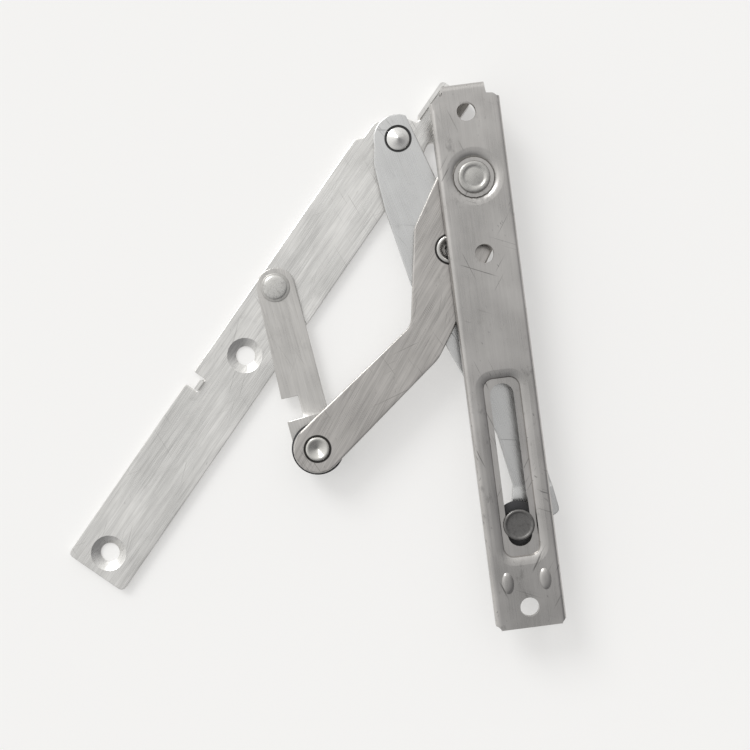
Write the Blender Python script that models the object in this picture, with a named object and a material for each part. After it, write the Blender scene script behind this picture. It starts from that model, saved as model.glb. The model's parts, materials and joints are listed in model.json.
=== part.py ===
"""Friction stay hinge: a channel on the window frame, a plate on the sash and three arms between them.

Millimetres are used inside the script and turned into metres when a mesh is made.
The origin is on the frame plate's outer face, midway between its end screw holes.
+Y runs along the frame plate to its end wall, +X across it, +Z out of the face.
"""
import math

import bmesh
import bpy
from mathutils import Matrix, Vector

MM = 0.001
SEGMENTS = 24

# Pivots and holes seen along Z, in millimetres
FRAME_PIVOT = Vector((0.0, 52.8))
SCISSOR = Vector((-9.05, 33.5))
SLIDER = Vector((0.0, -47.9))
SASH_PIVOT = Vector((-19.9, 68.1))
LINK_SASH = Vector((-61.6, 29.6))
LINK_ARM = Vector((-54.8, -19.2))
SASH_ANGLE = math.radians(-41.9)
FRAME_HOLES_Y = (71.5, 30.5, -71.5)
SASH_HOLES_Y = (-150.2, -78.4)
SASH_HOLES_X = -1.5

# Layers: the highest and lowest Z of each sheet
FRAME_SKIN = -1.5
FRAME_FLANGE = -3.1
PAN_FLOOR_TOP = -1.2
PAN_FLOOR = -2.7
BENT_ARM_Z = (-4.1, -6.1)
SLIDE_ARM_Z = (-7.3, -9.1)
LINK_ARM_Z = (-10.2, -11.6)
SASH_Z = (-11.9, -13.9)
SLIDE_JOGGLE = 0.5
LINK_JOGGLE = 0.8

# Frame plate
FRAME_HALF_WIDTH = 10.15
FRAME_TOP = 75.0
FRAME_BOTTOM = -77.3
FRAME_BEND_RADIUS = 1.3
TONGUE_HALF_WIDTH = 6.1
SINK = 0.015
TONGUE_TOP = 79.9
END_WALL_Z = -9.4
SCREW_RADIUS = 2.75
SLOT_HALF_WIDTH = 3.5
SLOT_ENDS = (-54.1, -7.0)
SLOT_PAN_HALF_WIDTH = 5.3
SLOT_PAN_ENDS = (-57.0, -5.3)

# Sash plate, measured from its pivot along and across its own length
SASH_LEFT = -11.3
SASH_RIGHT = 8.5
SASH_END = -157.4
TAB_Y = (-95.6, -91.0)
TAB_DEPTH = 4.1
TAB_HEIGHT = 1.8

# Rivets
SHANK_RADIUS = 1.9
HOLE_RADIUS = 2.2


def clear_scene():
    for item in list(bpy.data.objects):
        bpy.data.objects.remove(item)


def material(name, colour, roughness, metallic):
    made = bpy.data.materials.new(name)
    made.use_nodes = True
    shader = made.node_tree.nodes["Principled BSDF"]
    shader.inputs["Base Color"].default_value = (*colour, 1.0)
    shader.inputs["Roughness"].default_value = roughness
    shader.inputs["Metallic"].default_value = metallic
    return made


def arc(centre, radius, start, end, steps=8):
    """Points on a circle from one angle to another, in degrees."""
    points = []
    for step in range(steps + 1):
        angle = math.radians(start + (end - start) * step / steps)
        points.append((centre[0] + radius * math.cos(angle), centre[1] + radius * math.sin(angle)))
    return points


def rounded(corners, steps=4):
    """An outline whose corners (x, y, radius) are turned into arcs."""
    outline = []
    count = len(corners)
    for index in range(count):
        here = Vector(corners[index][:2])
        radius = corners[index][2]
        if radius == 0:
            outline.append(tuple(here))
            continue
        before = (Vector(corners[index - 1][:2]) - here).normalized()
        after = (Vector(corners[(index + 1) % count][:2]) - here).normalized()
        half = before.angle(after) / 2
        reach = radius / math.tan(half)
        middle = here + (before + after).normalized() * (radius / math.sin(half))
        first = here + before * reach - middle
        turn = first.angle_signed(here + after * reach - middle)
        for step in range(steps + 1):
            outline.append(tuple(middle + Matrix.Rotation(-turn * step / steps, 2) @ first))
    return outline


def slot_outline(half_width, ends, radius, steps=6):
    """A rounded rectangle along Y, as an open-ended list of corner arcs."""
    low, high = ends
    corners = [(half_width, low, radius), (half_width, high, radius), (-half_width, high, radius),
               (-half_width, low, radius)]
    return rounded(corners, steps)


def lofted(rings):
    """A closed skin over rings of (x, y, z) points, all of the same length."""
    mesh = bmesh.new()
    loops = [[mesh.verts.new(Vector(point) * MM) for point in ring] for ring in rings]
    for lower, upper in zip(loops, loops[1:]):
        for index in range(len(lower)):
            following = (index + 1) % len(lower)
            mesh.faces.new((lower[index], lower[following], upper[following], upper[index]))
    mesh.faces.new(loops[0])
    mesh.faces.new(loops[-1])
    return mesh


def prism(outline, bottom, top):
    return lofted([[(x, y, z) for x, y in outline] for z in (bottom, top)])


def turned(profile, closed=False):
    """A solid of revolution about Z: profile points (radius, z) from top to bottom."""
    mesh = bmesh.new()
    rings = []
    for radius, height in profile:
        if radius == 0:
            rings.append([mesh.verts.new((0, 0, height * MM))])
            continue
        ring = []
        for index in range(SEGMENTS):
            angle = 2 * math.pi * index / SEGMENTS
            ring.append(mesh.verts.new((radius * math.cos(angle) * MM, radius * math.sin(angle) * MM,
                                        height * MM)))
        rings.append(ring)
    pairs = list(zip(rings, rings[1:]))
    if closed:
        pairs.append((rings[-1], rings[0]))
    for upper, lower in pairs:
        for index in range(SEGMENTS):
            following = (index + 1) % SEGMENTS
            if len(upper) == 1:
                mesh.faces.new((upper[0], lower[index], lower[following]))
            elif len(lower) == 1:
                mesh.faces.new((upper[following], upper[index], lower[0]))
            else:
                mesh.faces.new((upper[index], lower[index], lower[following], upper[following]))
    return mesh


def joggle(mesh, axis, start, end, rise):
    """Raise the part of a sheet that lies past `start` along `axis`, sloping up to `end`."""
    direction = Vector((*axis, 0)).normalized()
    for distance in (start, end):
        geometry = mesh.verts[:] + mesh.edges[:] + mesh.faces[:]
        bmesh.ops.bisect_plane(mesh, geom=geometry, plane_co=direction * distance * MM, plane_no=direction)
    for vert in mesh.verts:
        distance = vert.co.dot(direction) / MM
        share = min(max((distance - start) / (end - start), 0), 1)
        vert.co.z += rise * share * MM


def finished(name, mesh, place=(0, 0), angle=0.0, skin=None, smooth=True):
    """Turn a bmesh into an object whose origin is on its pivot."""
    bmesh.ops.recalc_face_normals(mesh, faces=mesh.faces)
    data = bpy.data.meshes.new(name)
    mesh.to_mesh(data)
    mesh.free()
    if smooth:
        data.shade_smooth()
        data.set_sharp_from_angle(angle=math.radians(32))
    made = bpy.data.objects.new(name, data)
    bpy.context.scene.collection.objects.link(made)
    made.location = (place[0] * MM, place[1] * MM, 0)
    made.rotation_euler = (0, 0, angle)
    if skin:
        data.materials.append(skin)
    return made


def boolean(target, name, mesh, operation, place=(0, 0), angle=0.0):
    """Cut a shape from the target or join one to it, both kept as guides."""
    tool = finished(name, mesh, place, angle, smooth=False)
    tool.hide_render = True
    tool.display_type = "WIRE"
    modifier = target.modifiers.new(name, "BOOLEAN")
    modifier.operation = operation
    modifier.object = tool
    modifier.solver = "EXACT"


def hole(target, place, radius, angle=0.0):
    depth = [(0, 2), (radius, 2), (radius, -16), (0, -16)]
    boolean(target, target.name + "_hole_cutter", turned(depth), "DIFFERENCE", place, angle)


def seated_hole(target, place, seat_radius, floor):
    """A rivet hole with a shallow round seat for the rivet's head."""
    profile = [(0, 0), (seat_radius, 0), (seat_radius, floor), (HOLE_RADIUS, floor), (HOLE_RADIUS, -16),
               (0, -16)]
    boolean(target, target.name + "_seat_cutter", turned(profile), "DIFFERENCE", place)


def bevel(target, width, segments=2):
    modifier = target.modifiers.new("edge_round", "BEVEL")
    modifier.width = width * MM
    modifier.segments = segments
    modifier.limit_method = "ANGLE"
    modifier.angle_limit = math.radians(50)


def rotate(point, angle):
    x, y = point
    return Vector((x * math.cos(angle) - y * math.sin(angle), x * math.sin(angle) + y * math.cos(angle)))


def frame_plate(skin):
    outer = FRAME_HALF_WIDTH
    inner = FRAME_HALF_WIDTH + FRAME_SKIN
    radius = FRAME_BEND_RADIUS
    section = [(-outer, FRAME_FLANGE)]
    section += arc((-outer + radius, -radius), radius, 180, 90, 5)
    section += arc((outer - radius, -radius), radius, 90, 0, 5)
    section += [(outer, FRAME_FLANGE), (inner, FRAME_FLANGE), (inner, FRAME_SKIN - 0.4),
                (inner - 0.4, FRAME_SKIN), (-inner + 0.4, FRAME_SKIN), (-inner, FRAME_SKIN - 0.4),
                (-inner, FRAME_FLANGE)]
    channel = lofted([[(x, y, z) for x, z in section] for y in (FRAME_BOTTOM, FRAME_TOP)])
    plate = finished("frame_plate", channel, skin=skin)
    bend = 2.2
    thick = -FRAME_SKIN
    wall = [(FRAME_TOP - 3, -SINK)]
    wall += arc((TONGUE_TOP - bend, -bend - SINK), bend, 90, 0, 6)
    wall += [(TONGUE_TOP, END_WALL_Z), (TONGUE_TOP - thick, END_WALL_Z)]
    wall += arc((TONGUE_TOP - bend, -bend + SINK), bend - thick, 0, 90, 4)
    wall.append((FRAME_TOP - 3, FRAME_SKIN + SINK))
    half = TONGUE_HALF_WIDTH
    tongue = lofted([[(x, y, z) for y, z in wall] for x in (-half, half)])
    boolean(plate, "end_wall_form", tongue, "UNION")
    top = FRAME_TOP
    shoulder = rounded([(-half - 3.3, top - 2, 0), (half + 3.3, top - 2, 0), (half + 3.1, top + 0.1, 0.3),
                        (half + 2.1, top + 0.9, 0.6), (half + 0.2, top + 1.1, 0.3), (half, top + 2.6, 0),
                        (-half, top + 2.6, 0), (-half - 0.5, top + 1.7, 0.3), (-half - 2.2, top + 1.2, 0.3),
                        (-half - 3.3, top + 0.1, 0.3)])
    boolean(plate, "end_shoulder_form", prism(shoulder, FRAME_SKIN + 2 * SINK, -2 * SINK), "UNION")
    for side in (-1, 1):
        relief = prism(rounded([(-0.9, -0.9, 0), (0.9, -0.9, 0), (0.9, 0.9, 0.5), (-0.9, 0.9, 0)]), -5, 1)
        boolean(plate, "corner_relief_cutter", relief, "DIFFERENCE",
                (side * (FRAME_HALF_WIDTH - 0.2), FRAME_BOTTOM + 0.2), math.radians(45))
        bump = []
        for scale, height in ((1.0, -0.6), (1.0, 0.02), (0.88, 0.3), (0.6, 0.5), (0.25, 0.58)):
            bump.append([(1.7 * scale * math.cos(a), 3.1 * scale * math.sin(a), height)
                         for a in (math.tau * step / 20 for step in range(20))])
        boolean(plate, "bump_form", lofted(bump), "UNION", (side * 5.4, -64.0))
    pan = turned([(0, FRAME_SKIN + 0.5), (8.0, FRAME_SKIN + 0.5), (7.4, FRAME_SKIN), (6.9, PAN_FLOOR),
                  (0, PAN_FLOOR)])
    boolean(plate, "pivot_pan_form", pan, "UNION", FRAME_PIVOT)
    low, high = SLOT_PAN_ENDS
    width = SLOT_PAN_HALF_WIDTH
    below = [(width + 1.4, 1.4, FRAME_SKIN + 0.5), (width + 1.2, 1.2, FRAME_SKIN), (width + 0.7, 0.7, PAN_FLOOR)]
    rings = []
    for half_width, grow, height in below:
        outline = slot_outline(half_width, (low - grow, high + grow), 3.0 + grow)
        rings.append([(x, y, height) for x, y in outline])
    boolean(plate, "slot_pan_form", lofted(rings), "UNION")
    dish = turned([(0, 0.5), (9.6, 0.5), (8.4, -0.01), (7.5, -0.12), (6.7, -0.35), (6.2, -0.7),
                   (5.8, PAN_FLOOR_TOP), (0, PAN_FLOOR_TOP)])
    boolean(plate, "pivot_pan_cutter", dish, "DIFFERENCE", FRAME_PIVOT)
    rings = []
    for grow, height in ((2.9, 0.3), (2.3, -0.01), (1.5, -0.12), (0.7, -0.32), (0.1, -0.6),
                         (-0.2, PAN_FLOOR_TOP)):
        outline = slot_outline(width + grow, (low - grow, high + grow), 3.0 + grow)
        rings.append([(x, y, height) for x, y in outline])
    boolean(plate, "slot_pan_cutter", lofted(rings), "DIFFERENCE")
    slot = prism(slot_outline(SLOT_HALF_WIDTH, SLOT_ENDS, SLOT_HALF_WIDTH - 0.05, 8), -5, 1)
    boolean(plate, "slot_cutter", slot, "DIFFERENCE")
    for y in FRAME_HOLES_Y:
        hole(plate, (0, y), SCREW_RADIUS)
    hole(plate, FRAME_PIVOT, HOLE_RADIUS)
    return plate


def sash_plate(skin):
    left = SASH_LEFT
    right = SASH_RIGHT
    end = SASH_END
    low, high = TAB_Y
    corners = [(left, end, 1.3), (right, end, 1.6), (right, 0.5, 2.0), (7.4, 5.6, 1.5), (11.4, 6.6, 1.5),
               (11.4, 22.4, 1.4), (0.5, 22.4, 1.4), (1.6, 8.2, 1.0), (-4.5, 7.0, 4.0), (-9.2, 0.8, 2.5),
               (-9.2, -4.6, 1.0), (left, -6.6, 1.2), (left, high, 0.3), (left + TAB_DEPTH, high, 0.5),
               (left + TAB_DEPTH, low, 0.5), (left, low, 0.3)]
    body = prism(rounded(corners), SASH_Z[1], SASH_Z[0])
    plate = finished("sash_plate", body, SASH_PIVOT, SASH_ANGLE, skin)
    bevel(plate, 0.3)
    inset = left + TAB_DEPTH
    tab_outline = rounded([(inset - 0.9, low + 0.6, 0.3), (inset + 0.3, low + 0.6, 0.3),
                           (inset + 0.3, high - 0.6, 0.3), (inset - 0.9, high - 0.6, 0.3)])
    boolean(plate, "sash_tab_form", prism(tab_outline, SASH_Z[1] + 0.3, SASH_Z[0] + TAB_HEIGHT), "UNION",
            SASH_PIVOT, SASH_ANGLE)
    lip = rounded([(0.6, 9.5, 0.2), (1.7, 9.5, 0.2), (1.7, 21.2, 0.4), (10.2, 21.2, 0.4), (10.2, 9.0, 0.2),
                   (11.3, 9.0, 0.2), (11.3, 22.3, 1.3), (0.6, 22.3, 1.3)])
    boolean(plate, "nose_lip_form", prism(lip, SASH_Z[1] + 0.3, SASH_Z[0] + 1.7), "UNION",
            SASH_PIVOT, SASH_ANGLE)
    for y in SASH_HOLES_Y:
        centre = SASH_PIVOT + rotate((SASH_HOLES_X, y), SASH_ANGLE)
        sink = turned([(0, 1), (5.3, 1), (5.3, SASH_Z[0] - 0.1), (SCREW_RADIUS + 0.1, SASH_Z[1] + 0.35),
                       (SCREW_RADIUS + 0.1, -16), (0, -16)])
        boolean(plate, "countersink_cutter", sink, "DIFFERENCE", centre)
    hole(plate, SASH_PIVOT, HOLE_RADIUS)
    hole(plate, LINK_SASH, HOLE_RADIUS)
    return plate


def bent_arm(skin):
    elbow = LINK_ARM - FRAME_PIVOT
    corners = [(x, y, 0) for x, y in arc((0, 0), 9.8, -20, 150, 12)]
    corners += [(-18.8, -12.0, 4.0), (-23.3, -39.8, 5.0)]
    corners += [(x, y, 0) for x, y in arc(elbow, 7.1, 127, 307, 14)]
    corners += [(-16.5, -50.5, 9.0), (3.4, -20.6, 6.0)]
    outline = rounded(corners)
    body = prism(outline, BENT_ARM_Z[1], BENT_ARM_Z[0])
    arm = finished("bent_arm", body, FRAME_PIVOT, 0, skin)
    bevel(arm, 0.45)
    hole(arm, FRAME_PIVOT, HOLE_RADIUS)
    seated_hole(arm, SCISSOR, 4.6, BENT_ARM_Z[0] - 0.5)
    seated_hole(arm, LINK_ARM, 4.05, BENT_ARM_Z[0] - 0.5)
    return arm


def slide_arm(skin):
    head = SASH_PIVOT - SCISSOR
    end = SLIDER - SCISSOR
    outline = arc(head, 7.3, 65, 190, 9)
    outline += [(-18.9, 28.0), (-17.2, 13.8), (-12.6, -8.3), (6.9, -55.3), (9.7, -71.0), (8.6, -75.5)]
    outline += arc(end, 5.3, 150, 290, 10)
    outline += arc((20.4, -79.0), 1.8, -70, 10, 4)
    outline += [(21.2, -72.5), (9.6, -14.0)]
    outline += arc((1.6, -1.0), 5.6, -10, 55, 4)
    outline += [(-1.4, 22.0)]
    body = prism(outline, SLIDE_ARM_Z[1], SLIDE_ARM_Z[0])
    joggle(body, (0.1, -1.0), 72.6, 74.0, SLIDE_JOGGLE)
    arm = finished("slide_arm", body, SCISSOR, 0, skin)
    bevel(arm, 0.3)
    seated_hole(arm, SASH_PIVOT, 4.0, SLIDE_ARM_Z[0] - 0.4)
    for place in (SCISSOR, SLIDER):
        hole(arm, place, HOLE_RADIUS)
    return arm


def link_angle():
    span = LINK_SASH - LINK_ARM
    return math.atan2(-span.x, span.y)


def link_arm(skin):
    length = (LINK_SASH - LINK_ARM).length
    outline = arc((0.2, 0), 5.8, 10, 170, 10)
    outline += [(-7.0, -32.6), (-2.0, -32.8), (-2.0, -39.3), (-7.0, -39.5)]
    outline += arc((-0.8, -length), 6.2, 180, 360, 12)
    body = prism(outline, LINK_ARM_Z[1], LINK_ARM_Z[0])
    joggle(body, (0, -1), length - 11.6, length - 9.8, LINK_JOGGLE)
    arm = finished("link_arm", body, LINK_SASH, link_angle(), skin)
    bevel(arm, 0.3)
    hole(arm, LINK_SASH, SHANK_RADIUS + 1.0)
    hole(arm, LINK_ARM, HOLE_RADIUS)
    return arm


def ring(name, inner, outer, top, bottom, place, skin, edge=0.12):
    profile = [(inner, top), (outer - edge, top), (outer, top - edge), (outer, bottom + edge),
               (outer - edge, bottom), (inner, bottom)]
    return finished(name, turned(profile, closed=True), place, 0, skin)


def rivet(name, head, shank, bottom, tail, place, skin):
    """A closed rivet: head profile, plain shank, and a flattened tail under the lowest plate."""
    profile = list(head)
    profile += [(shank, head[-1][1]), (shank, bottom)]
    profile += [(tail, bottom), (tail, bottom - 0.35), (tail - 0.3, bottom - 0.6), (0, bottom - 0.6)]
    return finished(name, turned(profile), place, 0, skin)


def rivets(steel, dark, polished):
    face = PAN_FLOOR_TOP + 0.2
    rivet("frame_pivot_rivet",
          [(0, face + 0.62), (1.4, face + 0.62), (1.6, face + 0.5), (2.9, face + 0.5), (3.2, face + 0.72),
           (4.2, face + 0.78), (4.6, face + 0.55), (4.7, face + 0.2), (4.6, face)],
          SHANK_RADIUS, BENT_ARM_Z[1] - 0.2, 3.9, FRAME_PIVOT, steel)
    rivet("slider_rivet",
          [(0, face + 0.5), (3.4, face + 0.5), (3.7, face + 0.75), (4.2, face + 0.75), (4.5, face + 0.45),
           (4.5, face)],
          SHANK_RADIUS, SLIDE_ARM_Z[1] + SLIDE_JOGGLE - 0.2, 3.2, SLIDER, dark)
    top = BENT_ARM_Z[0] - 0.35
    rivet("scissor_rivet",
          [(0, top - 0.1), (2.4, top - 0.1), (2.8, top + 0.35), (3.2, top + 0.75), (3.8, top + 0.75),
           (4.15, top + 0.45), (4.15, top)],
          SHANK_RADIUS, SLIDE_ARM_Z[1] - 0.2, 3.6, SCISSOR, steel)
    rivet("link_arm_rivet",
          [(0, top - 0.15), (0.9, top + 0.2), (2.4, top + 0.75), (3.1, top + 0.95), (3.5, top + 0.6), (3.5, top)],
          SHANK_RADIUS, LINK_ARM_Z[1] + LINK_JOGGLE - 0.05, 2.3, LINK_ARM, steel)
    top = SLIDE_ARM_Z[0] - 0.25
    rivet("sash_pivot_rivet",
          [(0, top + 1.45), (0.8, top + 1.3), (2.6, top + 0.75), (3.35, top + 0.4), (3.45, top)],
          SHANK_RADIUS, SASH_Z[1] + 1.0, SHANK_RADIUS + 0.02, SASH_PIVOT, polished)
    top = LINK_ARM_Z[0] + 0.45
    rivet("link_sash_rivet",
          [(0, top + 0.45), (1.6, top + 0.4), (2.8, top + 0.26), (3.5, top + 0.1), (3.6, top)],
          SHANK_RADIUS, SASH_Z[1] + 1.0, SHANK_RADIUS + 0.02, LINK_SASH, polished)


def washers(steel, black):
    ring("frame_pivot_washer", HOLE_RADIUS, 6.0, PAN_FLOOR - 0.15, BENT_ARM_Z[0] + 0.15, FRAME_PIVOT, black)
    ring("scissor_washer", HOLE_RADIUS, 5.6, BENT_ARM_Z[1] - 0.1, SLIDE_ARM_Z[0] + 0.1, SCISSOR, black)
    ring("link_arm_washer", HOLE_RADIUS, 7.7, BENT_ARM_Z[1] - 0.1, BENT_ARM_Z[1] - 0.45, LINK_ARM, black)
    ring("link_arm_spacer", HOLE_RADIUS, 3.5, BENT_ARM_Z[1] - 0.6, LINK_ARM_Z[0] + LINK_JOGGLE + 0.15,
         LINK_ARM, steel)
    ring("sash_pivot_spacer", HOLE_RADIUS, 5.2, SLIDE_ARM_Z[1] - 0.15, SASH_Z[0] + 0.15, SASH_PIVOT, black)
    ring("link_sash_ring", HOLE_RADIUS, 4.3, LINK_ARM_Z[0] + 0.35, LINK_ARM_Z[0] + 0.1, LINK_SASH, steel, 0.08)
    ring("slider_washer", HOLE_RADIUS, 6.6, PAN_FLOOR - 0.15, PAN_FLOOR - 0.8, SLIDER, black)
    ring("slider_bush", HOLE_RADIUS, 2.85, PAN_FLOOR_TOP + 0.1, PAN_FLOOR - 0.05, SLIDER, black)
    ring("slider_spacer", HOLE_RADIUS, 4.2, PAN_FLOOR - 0.95, SLIDE_ARM_Z[0] + SLIDE_JOGGLE + 0.15, SLIDER, steel)


def build():
    clear_scene()
    frame_plate(material("frame_steel", (0.36, 0.36, 0.37), 0.38, 1.0))
    sash_plate(material("sash_steel", (0.62, 0.62, 0.62), 0.34, 1.0))
    bent_arm(material("arm_steel", (0.46, 0.45, 0.44), 0.36, 1.0))
    slide_arm(material("slide_arm_steel", (0.58, 0.58, 0.57), 0.33, 1.0))
    link_arm(material("link_steel", (0.48, 0.47, 0.45), 0.36, 1.0))
    steel = material("rivet_steel", (0.55, 0.54, 0.52), 0.28, 1.0)
    black = material("black_nylon", (0.02, 0.02, 0.022), 0.5, 0.0)
    rivets(steel, material("dark_steel", (0.2, 0.2, 0.2), 0.35, 1.0),
           material("polished_steel", (0.72, 0.72, 0.72), 0.2, 1.0))
    washers(steel, black)


build()
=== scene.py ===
"""Looks of the friction stay hinge: brushed steel plates, turned rivets and black nylon washers."""

import json
import math

import bmesh
import bpy
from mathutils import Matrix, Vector

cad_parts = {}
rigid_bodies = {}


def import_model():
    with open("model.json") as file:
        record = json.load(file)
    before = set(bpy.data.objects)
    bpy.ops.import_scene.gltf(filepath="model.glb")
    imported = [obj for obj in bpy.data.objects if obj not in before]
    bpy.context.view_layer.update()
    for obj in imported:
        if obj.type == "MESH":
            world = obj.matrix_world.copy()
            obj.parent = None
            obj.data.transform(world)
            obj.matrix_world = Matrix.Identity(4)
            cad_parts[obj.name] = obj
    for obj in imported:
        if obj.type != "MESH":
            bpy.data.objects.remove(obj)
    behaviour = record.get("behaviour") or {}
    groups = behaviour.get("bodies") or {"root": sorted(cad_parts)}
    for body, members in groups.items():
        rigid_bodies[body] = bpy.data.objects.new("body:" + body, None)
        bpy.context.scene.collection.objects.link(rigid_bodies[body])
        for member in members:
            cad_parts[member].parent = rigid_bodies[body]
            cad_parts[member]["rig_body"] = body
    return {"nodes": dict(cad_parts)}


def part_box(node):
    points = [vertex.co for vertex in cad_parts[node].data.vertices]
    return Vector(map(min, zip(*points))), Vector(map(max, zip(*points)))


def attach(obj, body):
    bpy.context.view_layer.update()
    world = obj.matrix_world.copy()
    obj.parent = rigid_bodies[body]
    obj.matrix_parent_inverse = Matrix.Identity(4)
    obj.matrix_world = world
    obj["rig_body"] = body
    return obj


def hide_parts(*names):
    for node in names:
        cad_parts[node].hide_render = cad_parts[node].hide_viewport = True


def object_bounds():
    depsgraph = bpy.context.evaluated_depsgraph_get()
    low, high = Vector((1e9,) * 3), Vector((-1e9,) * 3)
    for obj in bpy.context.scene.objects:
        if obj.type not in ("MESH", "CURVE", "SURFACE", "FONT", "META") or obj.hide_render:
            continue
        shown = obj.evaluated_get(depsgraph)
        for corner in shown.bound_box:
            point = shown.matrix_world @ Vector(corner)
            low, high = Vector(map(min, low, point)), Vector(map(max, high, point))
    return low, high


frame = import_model()
CAD_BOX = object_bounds()

MM = 0.001

# The sheets' grain, as turns about Z with the stay at rest.
FRAME_GRAIN = 0.0
SASH_GRAIN = math.radians(-41.9)
ARM_GRAIN = math.radians(-37.0)
SLIDE_GRAIN = math.radians(14.0)
LINK_GRAIN = math.radians(8.0)

# Pattern scales per metre, along and across the grain.
FINE_GRAIN = (90, 5200)
WIDE_GRAIN = (40, 900)
CLOUDS = (70, 110)
SCRATCHES = (45, 2600)
SCRATCHED_PATCHES = (60, 60)
SMUDGES = (130, 200)
DASHES = (420, 1500)
LATHE_WOBBLE = (500, 500)
HANDLING_SPOTS = (900, 1300)
NYLON_GRAIN = (4000, 4000)
GREASE = (250, 300)

# Shifts that keep one pattern from repeating another.
WIDE_SHIFT = 3
CLOUD_SHIFT = 7
SMUDGE_SHIFT = 31
DASH_SHIFT = 41
SPOT_SHIFT = 5.0
GREASE_SHIFT = 4.0
SHIFT_SPREAD = (1.0, 1.7, 0.6)

# Turns in radians: scratches, each with its shift, and dashes from the grain; spots and grease about Z.
SCRATCH_TURNS = ((0.35, 11.0), (-0.6, 17.0), (1.15, 23.0))
DASH_TURN = 0.5
SPOT_TURN = 0.4
GREASE_TURN = 0.3

# Bands of a pattern's value: its usual spread, its whole range, and where each mark begins to show.
USUAL = (0.3, 0.7)
WHOLE = (0, 1)
WAVE = (-1, 1)
SCRATCH_BAND = (0.69, 0.73)
PATCH_BAND = (0.52, 0.6)
SMUDGE_BAND = (0.6, 0.75)
DASH_BAND = (0.7, 0.76)
DASHED_CLOUD_BAND = (0.45, 0.55)
SPOT_BAND = (0.5, 0.72)
SPOT_GLOSS_BAND = (0.35, 0.7)

# Sheet finish: added roughness, and bump as strength and distance in metres.
WIDE_SHARE = 0.6
STREAK_GLOSS = (-0.05, 0.06)
CLOUD_GLOSS = (-0.03, 0.05)
SCRATCH_ROUGHNESS = 0.15
SCRATCH_DEPTH = 0.7
SHEET_BUMP = (0.22, 0.00005)
# Painted shade round the rivet seats: how soft its edge is in millimetres, and how dark it gets.
SEAT_SHADOW_SOFTNESS = 0.15
SEAT_SHADOW_LEVEL = 0.1

# Turned finish.
LATHE_PITCH = 0.00035
WOBBLE_DEPTH = 0.5
SPOT_GLOSS = (-0.04, 0.14)
SPOT_DEPTH = 1.5
TURNED_BUMP = (0.2, 0.00003)

# Nylon finish.
NYLON_COLOUR = (0.022, 0.022, 0.024)
NYLON_SHADE = (0.7, 1.6)
NYLON_GLOSS = (0.38, 0.6)
NYLON_BUMP = (0.25, 0.00004)

# Plates: each CAD node with its finish. A seat is a rivet and the radius in millimetres inside which the
# plate is darkened with painted shade for the shadowed gap round the rivet.
SHEETS = {
    "frame_plate": dict(name="frame_steel_look", colour=(0.49, 0.475, 0.46), roughness=0.29,
                        grain=FRAME_GRAIN, brush=0.05, mottle=0.12, scratches=0.5, grime=0.45, seed=1.0),
    "sash_plate": dict(name="sash_steel_look", colour=(0.73, 0.72, 0.7), roughness=0.28,
                       grain=SASH_GRAIN, brush=0.16, mottle=0.09, scratches=0.25, grime=0.12, seed=2.0),
    "bent_arm": dict(name="arm_steel_look", colour=(0.5, 0.48, 0.46), roughness=0.3,
                     grain=ARM_GRAIN, brush=0.19, mottle=0.07, scratches=0.35, grime=0.2, seed=3.0,
                     seat_shadows=(("link_arm_rivet", 4.0), ("scissor_rivet", 4.55))),
    "slide_arm": dict(name="slide_arm_look", colour=(0.64, 0.64, 0.635), roughness=0.27,
                      grain=SLIDE_GRAIN, brush=0.03, mottle=0.05, scratches=0.3, grime=0.2, seed=4.0,
                      seat_shadows=(("sash_pivot_rivet", 3.95),)),
    "link_arm": dict(name="link_steel_look", colour=(0.58, 0.565, 0.545), roughness=0.3,
                     grain=LINK_GRAIN, brush=0.1, mottle=0.08, scratches=0.12, grime=0.15, seed=5.0,
                     seat_shadows=(("link_sash_rivet", 4.25),)),
}
MERGE_DISTANCE = 0.000001
SHARP_SHEET_EDGE = math.radians(34)
FACE_WEIGHT = 100

# Turned pieces, in millimetres. A profile point is a radius and a depth below the piece's top.
ROUND_STEPS = 96
SHARP_TURNED_EDGE = math.radians(40)
SHANK = 1.9
FLANGE_HEIGHT = 0.6
FLANGE_ROUNDING = ((0, 0.25), (0.12, 0.08), (0.35, 0))
STUB_CHAMFER = 0.1
CROWN_STEPS = 7
CROWN_CURVE = 0.96
RING_BORE = 2.2
RING_EDGE = 0.15
RING_EDGE_SHARE = 0.3
RING_SOFT_SHARE = 0.3
RING_LOOK = ((0.5, 0.49, 0.47), 0.28)

DISHED_HEAD = [(0, 0.2), (0.5, 0.16), (0.9, 0.22), (1.35, 0.2), (1.6, 0.26), (2.3, 0.25), (2.5, 0.3),
               (2.9, 0.27), (3.1, 0.16), (3.3, 0.06), (3.6, 0.0), (3.95, 0.0), (4.25, 0.06), (4.5, 0.2),
               (4.62, 0.36), (4.65, 0.6), (4.6, 0.78)]
RIMMED_HEAD = [(0, 0.27), (0.7, 0.25), (2.0, 0.28), (3.2, 0.25), (3.5, 0.2), (3.7, 0.07), (3.9, 0.0),
               (4.1, 0.0), (4.32, 0.08), (4.45, 0.22), (4.5, 0.4), (4.5, 0.75)]
HOLLOW_HEAD = [(0, 2.6), (1.45, 2.6), (1.5, 2.5), (1.5, 1.0), (1.7, 0.72), (2.5, 0.66), (2.8, 0.4),
               (3.0, 0.15), (3.25, 0.02), (3.5, 0.0), (3.8, 0.05), (4.05, 0.2), (4.15, 0.42), (4.15, 0.75)]
DIMPLED_HEAD = [(0, 1.3), (0.35, 1.2), (0.8, 0.95), (1.6, 0.55), (2.2, 0.28), (2.5, 0.1), (2.75, 0.02),
                (3.0, 0.0), (3.25, 0.08), (3.42, 0.24), (3.5, 0.45), (3.5, 0.95)]
CONE_HEAD = [(0, 0.0), (0.22, 0.03), (0.5, 0.16), (1.3, 0.55), (2.2, 0.92), (2.8, 1.1), (3.2, 1.2),
             (3.4, 1.32), (3.45, 1.45)]
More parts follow.
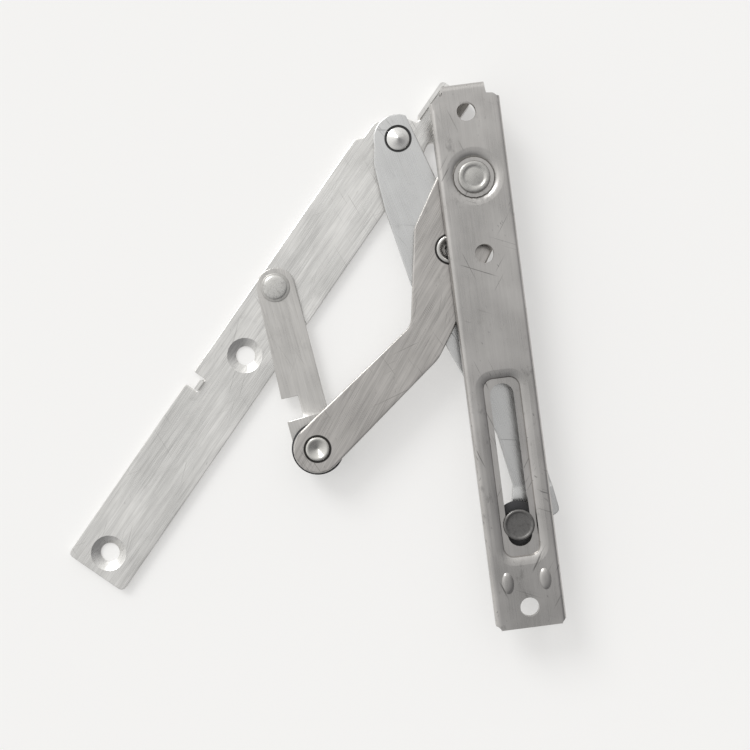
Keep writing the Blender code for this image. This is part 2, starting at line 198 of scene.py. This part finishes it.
DOME_RADIUS = 3.5
DOME_RISE = 0.36
DOME_RIM = [(3.58, 0.38), (3.6, 0.45)]

# Studio: places in metres, colours and strengths.
FLOOR_HALF_SIZE = 3.0
FLOOR_GAP = 0.0002
FLOOR_COLOUR = (0.55, 0.547, 0.54, 1)
FLOOR_GLOW = (1.0, 0.99, 0.975, 1)
FLOOR_GLOW_STRENGTH = 0.4
FLOOR_ROUGHNESS = 0.9
FLOOR_SPECULAR = 0.1
BRIGHT_SIDE = (-0.55, 0.8, 0.12)
DARK_END = (0.2, (0.25, 0.25, 0.255, 1))
BRIGHT_END = (0.85, (1.1, 1.1, 1.09, 1))
SUN_ENERGY = 1.2
SUN_SIZE = math.radians(25)
SUN_DIRECTION = (0.6, -1.0, -0.8)
CAMERA_DISTANCE = 0.260
CAMERA_SIDE = -0.0355
CAMERA_ROLL = math.radians(-7.34)
FIELD_WIDTH = 0.2145
SENSOR_WIDTH = 36
NEAR_CLIP = 0.01


# ---------------------------------------------------------------- node helpers
class Tree:
    """Short names for the shader nodes that the finishes below share."""

    def __init__(self, name):
        self.material = bpy.data.materials.new(name)
        self.material.use_nodes = True
        self.nodes = self.material.node_tree.nodes
        self.links = self.material.node_tree.links
        self.shader = self.nodes["Principled BSDF"]
        self.place = self.nodes.new("ShaderNodeTexCoord").outputs["Object"]

    def link(self, source, target):
        self.links.new(source, target)

    def mapped(self, angle, scales, shift=0.0):
        """Coordinates turned to the grain: stretched along it and fine across it, per metre."""
        along, across = scales
        turn = self.nodes.new("ShaderNodeVectorRotate")
        turn.rotation_type = "Z_AXIS"
        turn.inputs["Angle"].default_value = -angle
        self.link(self.place, turn.inputs["Vector"])
        scale = self.nodes.new("ShaderNodeMapping")
        scale.inputs["Location"].default_value = [shift * part for part in SHIFT_SPREAD]
        scale.inputs["Scale"].default_value = (across, along, across / 2)
        self.link(turn.outputs["Vector"], scale.inputs["Vector"])
        return scale.outputs["Vector"]

    def noise(self, vector, detail=3.0, roughness=0.5):
        made = self.nodes.new("ShaderNodeTexNoise")
        made.inputs["Scale"].default_value = 1.0
        made.inputs["Detail"].default_value = detail
        made.inputs["Roughness"].default_value = roughness
        self.link(vector, made.inputs["Vector"])
        return made.outputs["Fac"]

    def remap(self, value, band, to_low, to_high):
        """The value with its band moved to another range, and held at that range's ends."""
        made = self.nodes.new("ShaderNodeMapRange")
        numbers = (band[0], band[1], to_low, to_high)
        for name, number in zip(("From Min", "From Max", "To Min", "To Max"), numbers):
            made.inputs[name].default_value = number
        self.link(value, made.inputs["Value"])
        return made.outputs["Result"]

    def math(self, operation, first, second=0):
        made = self.nodes.new("ShaderNodeMath")
        made.operation = operation
        for socket, value in zip(made.inputs, (first, second)):
            if isinstance(value, (int, float)):
                socket.default_value = value
            else:
                self.link(value, socket)
        return made.outputs["Value"]

    def tinted(self, colour, shade):
        """The colour multiplied by a grey value."""
        made = self.nodes.new("ShaderNodeVectorMath")
        made.operation = "SCALE"
        made.inputs[0].default_value = colour
        self.link(shade, made.inputs["Scale"])
        return made.outputs["Vector"]

    def distance(self, centre):
        """Distance from an axis along Z."""
        moved = self.nodes.new("ShaderNodeVectorMath")
        moved.operation = "SUBTRACT"
        moved.inputs[1].default_value = centre
        self.link(self.place, moved.inputs[0])
        flat = self.nodes.new("ShaderNodeVectorMath")
        flat.operation = "MULTIPLY"
        flat.inputs[1].default_value = (1, 1, 0)
        self.link(moved.outputs["Vector"], flat.inputs[0])
        length = self.nodes.new("ShaderNodeVectorMath")
        length.operation = "LENGTH"
        self.link(flat.outputs["Vector"], length.inputs[0])
        return length.outputs["Value"]

    def bump(self, height, strength, distance):
        made = self.nodes.new("ShaderNodeBump")
        made.inputs["Strength"].default_value = strength
        made.inputs["Distance"].default_value = distance
        self.link(height, made.inputs["Height"])
        self.link(made.outputs["Normal"], self.shader.inputs["Normal"])


def around(middle, spread):
    """The two ends of a spread about a middle value."""
    return middle + spread[0], middle + spread[1]


def crossing_scratches(tree, grain, seed):
    """Fine lines at three angles to the grain, each kept to its own patches."""
    marks = None
    for turn, shift in SCRATCH_TURNS:
        line = tree.noise(tree.mapped(grain + turn, SCRATCHES, seed + shift), detail=1)
        line = tree.remap(line, SCRATCH_BAND, 0, 1)
        patch = tree.noise(tree.mapped(0, SCRATCHED_PATCHES, seed + shift * 2), detail=1)
        line = tree.math("MULTIPLY", line, tree.remap(patch, PATCH_BAND, 0, 1))
        marks = line if marks is None else tree.math("MAXIMUM", marks, line)
    return marks


def steel(name, colour, roughness, grain, brush, mottle, scratches, grime, seed, seat_shadows=()):
    """Stainless sheet: brushed grain, cloudy patches, fine scratches, smudges, and painted shade at the
    rivet seats for the shadowed gaps round the rivets.

    Brush, mottle, scratches and grime say how far each of them changes the colour's brightness.
    """
    tree = Tree(name)
    tree.shader.inputs["Metallic"].default_value = 1.0
    streaks = tree.noise(tree.mapped(grain, FINE_GRAIN, seed), detail=4, roughness=0.65)
    wide_streaks = tree.noise(tree.mapped(grain, WIDE_GRAIN, seed + WIDE_SHIFT), detail=2)
    cloud = tree.noise(tree.mapped(grain, CLOUDS, seed + CLOUD_SHIFT), detail=3)
    wide = brush * WIDE_SHARE
    shade = tree.math("ADD", tree.remap(streaks, USUAL, 1 - brush, 1 + brush),
                      tree.remap(wide_streaks, USUAL, -wide, wide))
    shade = tree.math("MULTIPLY", shade, tree.remap(cloud, USUAL, 1 - mottle, 1 + mottle))
    marks = crossing_scratches(tree, grain, seed)
    shade = tree.math("MULTIPLY", shade, tree.remap(marks, WHOLE, 1.0, 1 - scratches))
    smudge = tree.noise(tree.mapped(grain, SMUDGES, seed + SMUDGE_SHIFT), detail=5, roughness=0.7)
    shade = tree.math("MULTIPLY", shade, tree.remap(smudge, SMUDGE_BAND, 1.0, 1 - grime))
    dashes = tree.noise(tree.mapped(grain + DASH_TURN, DASHES, seed + DASH_SHIFT), detail=2)
    dashes = tree.math("MULTIPLY", tree.remap(dashes, DASH_BAND, 0, 1),
                       tree.remap(cloud, DASHED_CLOUD_BAND, 0, 1))
    shade = tree.math("MULTIPLY", shade, tree.remap(dashes, WHOLE, 1.0, 1 - scratches))
    # Painted shade: the plate darkens within each rivet's radius, standing in for the shadowed gap round
    # the rivet head.
    for node, radius in seat_shadows:
        band = (radius * MM, (radius + SEAT_SHADOW_SOFTNESS) * MM)
        seat_shadow = tree.remap(tree.distance(centre_of(node)), band, SEAT_SHADOW_LEVEL, 1.0)
        shade = tree.math("MULTIPLY", shade, seat_shadow)
    tree.link(tree.tinted(colour, shade), tree.shader.inputs["Base Color"])
    rough = tree.math("ADD", tree.remap(streaks, USUAL, *around(roughness, STREAK_GLOSS)),
                      tree.remap(cloud, USUAL, *CLOUD_GLOSS))
    rough = tree.math("ADD", rough, tree.math("MULTIPLY", marks, SCRATCH_ROUGHNESS))
    tree.link(rough, tree.shader.inputs["Roughness"])
    height = tree.math("SUBTRACT", streaks, tree.math("MULTIPLY", marks, SCRATCH_DEPTH))
    tree.bump(height, *SHEET_BUMP)
    return tree.material


def turned_steel(name, colour, roughness, centre, rings=0.12, wear=0.2):
    """Steel turned on a lathe: fine rings about its axis, with handling marks over them."""
    tree = Tree(name)
    tree.shader.inputs["Metallic"].default_value = 1.0
    wobble = tree.math("MULTIPLY", tree.noise(tree.mapped(0, LATHE_WOBBLE), detail=2), WOBBLE_DEPTH)
    turns = tree.math("MULTIPLY", tree.distance(centre), math.tau / LATHE_PITCH)
    groove = tree.math("SINE", tree.math("ADD", turns, wobble))
    spots = tree.noise(tree.mapped(SPOT_TURN, HANDLING_SPOTS, SPOT_SHIFT), detail=5, roughness=0.7)
    shade = tree.math("MULTIPLY", tree.remap(groove, WAVE, 1 - rings, 1 + rings),
                      tree.remap(spots, SPOT_BAND, 1.0, 1 - wear))
    tree.link(tree.tinted(colour, shade), tree.shader.inputs["Base Color"])
    rough = tree.remap(spots, SPOT_GLOSS_BAND, *around(roughness, SPOT_GLOSS))
    tree.link(rough, tree.shader.inputs["Roughness"])
    tree.bump(tree.math("ADD", groove, tree.math("MULTIPLY", spots, SPOT_DEPTH)), *TURNED_BUMP)
    return tree.material


def nylon(name):
    """Moulded black nylon with a fine grain and grease-dulled patches."""
    tree = Tree(name)
    grain = tree.noise(tree.mapped(0, NYLON_GRAIN), detail=4, roughness=0.6)
    patch = tree.noise(tree.mapped(GREASE_TURN, GREASE, GREASE_SHIFT), detail=3)
    tree.link(tree.tinted(NYLON_COLOUR, tree.remap(patch, USUAL, *NYLON_SHADE)),
              tree.shader.inputs["Base Color"])
    tree.link(tree.remap(patch, USUAL, *NYLON_GLOSS), tree.shader.inputs["Roughness"])
    tree.bump(grain, *NYLON_BUMP)
    return tree.material


# ---------------------------------------------------------------- CAD plates
def shading_group():
    """A geometry node group that joins coincident points and smooths all but the sharp edges."""
    group = bpy.data.node_groups.new("smooth_sheet", "GeometryNodeTree")
    group.interface.new_socket("Geometry", in_out="INPUT", socket_type="NodeSocketGeometry")
    group.interface.new_socket("Geometry", in_out="OUTPUT", socket_type="NodeSocketGeometry")
    nodes = group.nodes
    start = nodes.new("NodeGroupInput")
    end = nodes.new("NodeGroupOutput")
    merge = nodes.new("GeometryNodeMergeByDistance")
    merge.inputs["Distance"].default_value = MERGE_DISTANCE
    clean = nodes.new("GeometryNodeRemoveAttribute")
    clean.inputs["Name"].default_value = "custom_normal"
    smooth = nodes.new("GeometryNodeSetShadeSmooth")
    smooth.domain = "FACE"
    sharp = nodes.new("GeometryNodeSetShadeSmooth")
    sharp.domain = "EDGE"
    sharp.inputs["Shade Smooth"].default_value = False
    angle = nodes.new("GeometryNodeInputMeshEdgeAngle")
    over = nodes.new("ShaderNodeMath")
    over.operation = "GREATER_THAN"
    over.inputs[1].default_value = SHARP_SHEET_EDGE
    chain = [start, merge, clean, smooth, sharp, end]
    for first, second in zip(chain, chain[1:]):
        group.links.new(first.outputs[0], second.inputs[0])
    group.links.new(angle.outputs["Unsigned Angle"], over.inputs[0])
    group.links.new(over.outputs["Value"], sharp.inputs["Selection"])
    return group


def dress(node, material, group):
    """Gives a CAD node its material, smooth bends and flat-looking faces."""
    piece = frame["nodes"][node]
    piece.data.materials.clear()
    piece.data.materials.append(material)
    modifier = piece.modifiers.new("smooth_sheet", "NODES")
    modifier.node_group = group
    flat = piece.modifiers.new("flat_faces", "WEIGHTED_NORMAL")
    flat.keep_sharp = True
    flat.weight = FACE_WEIGHT


def plates():
    group = shading_group()
    for node, finish in SHEETS.items():
        dress(node, steel(**finish), group)


# ---------------------------------------------------------------- turned pieces
def centre_of(node):
    low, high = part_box(node)
    return (low + high) / 2


def height_of(node):
    low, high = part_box(node)
    return (high.z - low.z) / MM


def turned_piece(name, node, profile, material, closed=False):
    """A finely divided solid of revolution that stands for a turned CAD node.

    The profile runs from top to bottom. A closed profile joins its last point to its first.
    """
    low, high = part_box(node)
    centre = (low + high) / 2
    mesh = bmesh.new()
    rings = []
    for radius, depth in profile:
        height = high.z - depth * MM
        if radius == 0:
            rings.append([mesh.verts.new((centre.x, centre.y, height))])
            continue
        ring = []
        for index in range(ROUND_STEPS):
            angle = math.tau * index / ROUND_STEPS
            ring.append(mesh.verts.new((centre.x + radius * MM * math.cos(angle),
                                        centre.y + radius * MM * math.sin(angle), height)))
        rings.append(ring)
    pairs = list(zip(rings, rings[1:]))
    if closed:
        pairs.append((rings[-1], rings[0]))
    for upper, lower in pairs:
        for index in range(ROUND_STEPS):
            following = (index + 1) % ROUND_STEPS
            corners = [upper[index % len(upper)], lower[index % len(lower)], lower[following % len(lower)],
                       upper[following % len(upper)]]
            mesh.faces.new(list(dict.fromkeys(corners)))
    bmesh.ops.recalc_face_normals(mesh, faces=mesh.faces)
    data = bpy.data.meshes.new(name)
    mesh.to_mesh(data)
    mesh.free()
    data.shade_smooth()
    data.set_sharp_from_angle(angle=SHARP_TURNED_EDGE)
    piece = bpy.data.objects.new(name, data)
    bpy.context.scene.collection.objects.link(piece)
    data.materials.append(material)
    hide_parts(node)
    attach(piece, frame["nodes"][node]["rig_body"])


def flange(start, radius, end):
    """The lower part of a rivet: plain shank and a rounded flange."""
    edge = [(radius - inset, end - rise) for inset, rise in FLANGE_ROUNDING]
    return [(SHANK, start), (SHANK, end - FLANGE_HEIGHT), (radius, end - FLANGE_HEIGHT), *edge, (0, end)]


def stub(start, end):
    """The lower part of a rivet that ends flush: plain shank with a small chamfer."""
    return [(SHANK, start), (SHANK, end - STUB_CHAMFER), (SHANK - STUB_CHAMFER, end), (0, end)]


def crown(radius, rise):
    """Points of a rounded head from its middle to its rim."""
    points = []
    for step in range(CROWN_STEPS + 1):
        share = step / CROWN_STEPS
        points.append((radius * share, rise * (1 - math.sqrt(1 - CROWN_CURVE * share * share))))
    return points


def rivet(node, name, slot, head, colour, roughness, flange_radius=None, **marks):
    """A rivet with its own turned finish, and a flange or a flush stub below."""
    start = head[-1][1]
    end = height_of(node)
    lower = flange(start, flange_radius, end) if flange_radius else stub(start, end)
    look = turned_steel(node + "_look", colour, roughness, centre_of(node), **marks)
    turned_piece(name, node, head + lower, look)


def rivets():
    rivet("frame_pivot_rivet", "frame_pivot_head", "rivet_steel", DISHED_HEAD,
          colour=(0.5, 0.49, 0.47), roughness=0.26, flange_radius=3.9, rings=0.16, wear=0.3)
    rivet("slider_rivet", "slider_rivet_head", "dark_steel", RIMMED_HEAD,
          colour=(0.2, 0.195, 0.19), roughness=0.3, flange_radius=3.2, rings=0.2, wear=0.35)
    rivet("scissor_rivet", "scissor_rivet_head", "rivet_steel", HOLLOW_HEAD,
          colour=(0.55, 0.54, 0.52), roughness=0.22, flange_radius=3.6)
    rivet("link_arm_rivet", "link_arm_rivet_head", "rivet_steel", DIMPLED_HEAD,
          colour=(0.62, 0.61, 0.58), roughness=0.2, flange_radius=2.3, rings=0.06)
    rivet("sash_pivot_rivet", "sash_pivot_cone", "polished_steel", CONE_HEAD,
          colour=(0.74, 0.73, 0.71), roughness=0.14, rings=0.04, wear=0.15)
    rivet("link_sash_rivet", "link_sash_dome", "polished_steel", crown(DOME_RADIUS, DOME_RISE) + DOME_RIM,
          colour=(0.6, 0.59, 0.57), roughness=0.24, rings=0.05, wear=0.45)


def fine_ring(node, material):
    """A washer, bush or spacer with rounded edges, as wide and deep as its CAD node."""
    low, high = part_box(node)
    outer = (high.x - low.x) / 2 / MM
    deep = height_of(node)
    edge = min(RING_EDGE, deep * RING_EDGE_SHARE)
    soft = edge * RING_SOFT_SHARE
    profile = [(RING_BORE, soft), (RING_BORE + soft, 0), (outer - edge, 0), (outer - soft, soft),
               (outer, edge), (outer, deep - edge), (outer - soft, deep - soft), (outer - edge, deep),
               (RING_BORE + soft, deep), (RING_BORE, deep - soft)]
    turned_piece(node + "_fine", node, profile, material, closed=True)


def washers():
    black = nylon("black_nylon_look")
    for node in ("frame_pivot_washer", "scissor_washer", "link_arm_washer", "sash_pivot_spacer",
                 "slider_washer", "slider_bush"):
        fine_ring(node, black)
    for node in ("link_arm_spacer", "link_sash_ring", "slider_spacer"):
        look = turned_steel(node + "_look", *RING_LOOK, centre_of(node))
        fine_ring(node, look)


# ---------------------------------------------------------------- stage, light and camera
def floor():
    mesh = bmesh.new()
    z = CAD_BOX[0][2] - FLOOR_GAP
    corners = [mesh.verts.new((x * FLOOR_HALF_SIZE, y * FLOOR_HALF_SIZE, z))
               for x, y in ((-1, -1), (1, -1), (1, 1), (-1, 1))]
    mesh.faces.new(corners)
    data = bpy.data.meshes.new("floor")
    mesh.to_mesh(data)
    mesh.free()
    made = bpy.data.objects.new("floor", data)
    bpy.context.scene.collection.objects.link(made)
    look = bpy.data.materials.new("floor_look")
    look.use_nodes = True
    shader = look.node_tree.nodes["Principled BSDF"]
    shader.inputs["Base Color"].default_value = FLOOR_COLOUR
    shader.inputs["Emission Color"].default_value = FLOOR_GLOW
    shader.inputs["Emission Strength"].default_value = FLOOR_GLOW_STRENGTH
    shader.inputs["Roughness"].default_value = FLOOR_ROUGHNESS
    shader.inputs["Specular IOR Level"].default_value = FLOOR_SPECULAR
    data.materials.append(look)


def world():
    """A soft studio: bright towards the frame plate's end wall and the sash, darker on the other side."""
    made = bpy.data.worlds.new("studio")
    bpy.context.scene.world = made
    made.use_nodes = True
    nodes = made.node_tree.nodes
    links = made.node_tree.links
    place = nodes.new("ShaderNodeTexCoord")
    dot = nodes.new("ShaderNodeVectorMath")
    dot.operation = "DOT_PRODUCT"
    dot.inputs[1].default_value = Vector(BRIGHT_SIDE).normalized()
    links.new(place.outputs["Generated"], dot.inputs[0])
    ramp = nodes.new("ShaderNodeValToRGB")
    for element, (position, colour) in zip(ramp.color_ramp.elements, (DARK_END, BRIGHT_END)):
        element.position = position
        element.color = colour
    half = nodes.new("ShaderNodeMapRange")
    half.inputs["From Min"].default_value = -1
    links.new(dot.outputs["Value"], half.inputs["Value"])
    links.new(half.outputs["Result"], ramp.inputs["Fac"])
    background = nodes["Background"]
    links.new(ramp.outputs["Color"], background.inputs["Color"])
    background.inputs["Strength"].default_value = 1.0


def sun():
    light = bpy.data.lights.new("key", "SUN")
    light.energy = SUN_ENERGY
    light.angle = SUN_SIZE
    made = bpy.data.objects.new("key", light)
    bpy.context.scene.collection.objects.link(made)
    made.rotation_euler = Vector(SUN_DIRECTION).to_track_quat("-Z", "Y").to_euler()


def camera():
    lens = bpy.data.cameras.new("camera")
    lens.sensor_width = SENSOR_WIDTH
    lens.lens = SENSOR_WIDTH * CAMERA_DISTANCE / FIELD_WIDTH
    lens.clip_start = NEAR_CLIP
    made = bpy.data.objects.new("camera", lens)
    bpy.context.scene.collection.objects.link(made)
    made.location = (CAMERA_SIDE, 0.0, CAMERA_DISTANCE)
    made.rotation_euler = (0, 0, CAMERA_ROLL)
    bpy.context.scene.camera = made
    bpy.context.scene.view_settings.view_transform = "Standard"


plates()
rivets()
washers()
floor()
world()
sun()
camera()
